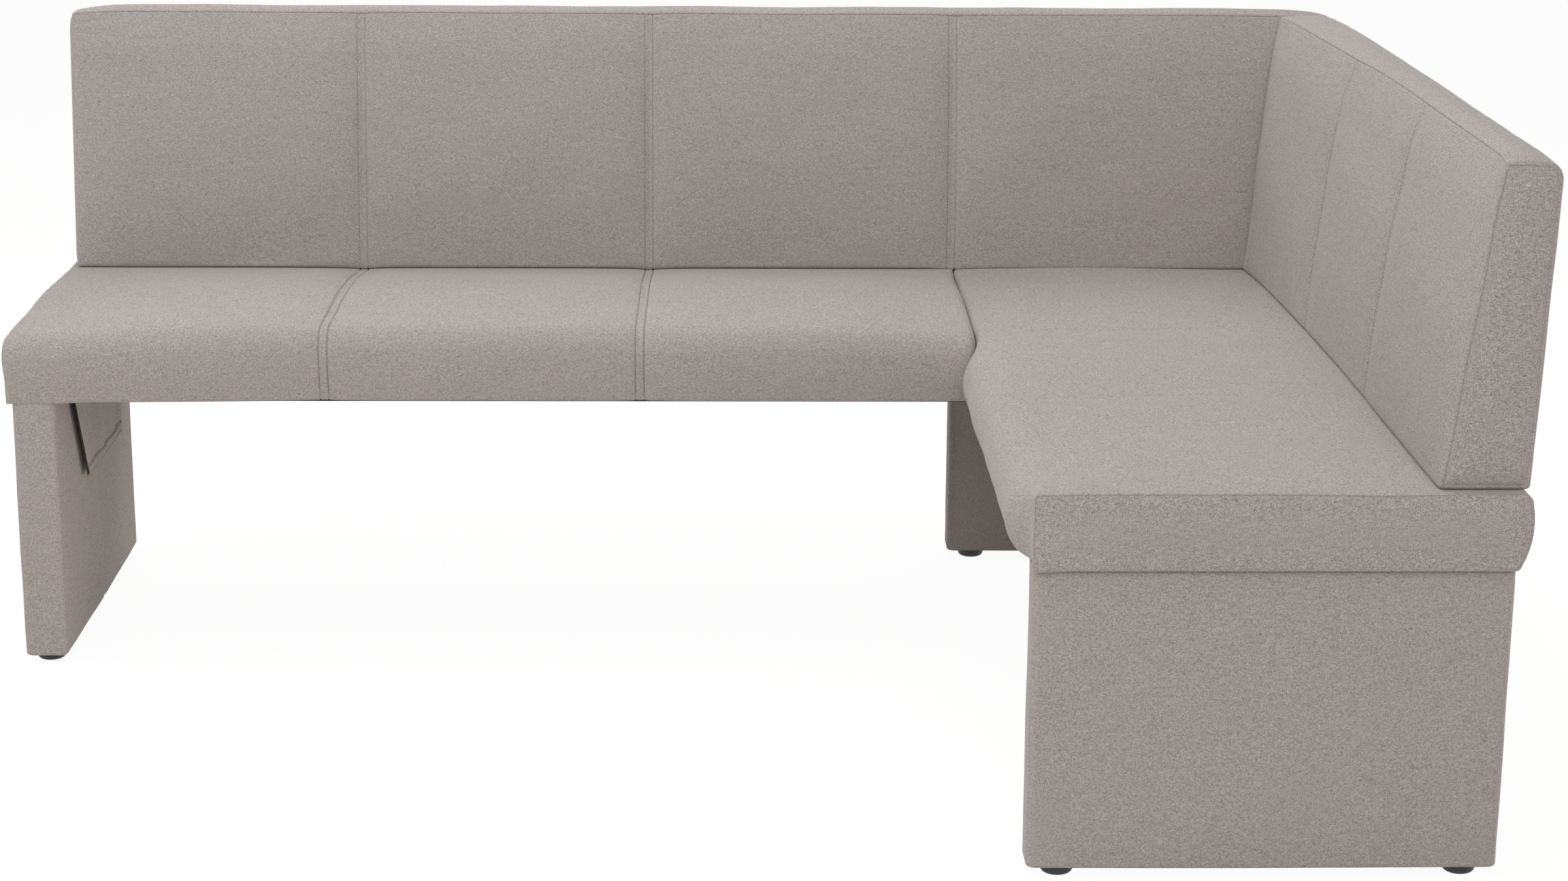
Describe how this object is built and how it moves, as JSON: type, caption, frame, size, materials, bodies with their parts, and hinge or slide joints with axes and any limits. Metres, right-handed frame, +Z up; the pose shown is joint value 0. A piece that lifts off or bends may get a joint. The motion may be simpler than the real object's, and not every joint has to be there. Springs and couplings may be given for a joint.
{
  "type": "corner bench",
  "caption": "Upholstered L-shaped corner bench: padded seats and backs sewn in panels, carried on padded cheek panels with low floor glides, and a hanging cloth flap under one end.",
  "frame": {"origin": "on the floor, at the middle of the rectangle around the bench", "axes": "+X to the right along the long bench, +Y to the wall behind the long bench, +Z up"},
  "size_m": [1.97, 1.4, 0.882],
  "materials": {
    "upholstery": "woven melange",
    "foam": "open-cell foam",
    "webbing": "woven elastic strap",
    "black_cloth": "non-woven cloth",
    "timber": "sawn timber",
    "board": "pressed board",
    "steel": "zinc plated",
    "glide_plastic": "matte"
  },
  "bodies": {
    "bench": {"long_seat_cover": "upholstery", "long_seat_foam": "foam", "long_seat_rails": "timber", "long_seat_cross_rails": "timber", "long_seat_webbing": "webbing", "long_seat_dust_cover": "black_cloth", "short_seat_cover": "upholstery", "short_seat_foam": "foam", "short_seat_rails": "timber", "short_seat_cross_rails": "timber", "short_seat_webbing": "webbing", "short_seat_dust_cover": "black_cloth", "mounting_planks": "timber", "long_back_cover": "upholstery", "long_back_foam": "foam", "long_back_rails": "timber", "long_back_uprights": "timber", "long_back_rear_board": "board", "short_back_cover": "upholstery", "short_back_foam": "foam", "short_back_rails": "timber", "short_back_uprights": "timber", "short_back_rear_board": "board", "left_cheek_cover": "upholstery", "left_cheek_boards": "board", "left_cheek_battens": "timber", "corner_cheek_cover": "upholstery", "corner_cheek_boards": "board", "corner_cheek_battens": "timber", "end_cheek_cover": "upholstery", "end_cheek_boards": "board", "end_cheek_battens": "timber", "floor_glides": "glide_plastic", "glide_screws": "steel", "cheek_brackets": "steel", "bracket_seat_screws": "steel", "bracket_cheek_screws": "steel", "back_bolts": "steel", "back_bolt_washers": "steel", "back_inserts": "steel", "joining_plates": "steel", "joining_screws": "steel"},
    "flap": {"access_flap": "upholstery", "flap_lining": "black_cloth"}
  },
  "joints": [
    {"name": "access_flap_swing", "type": "hinge", "parent": "bench", "child": "flap", "pos_m": [-0.9015, 0.359, 0.3875], "axis": [0, -1, 0], "range_deg": [0, 70]}
  ]
}
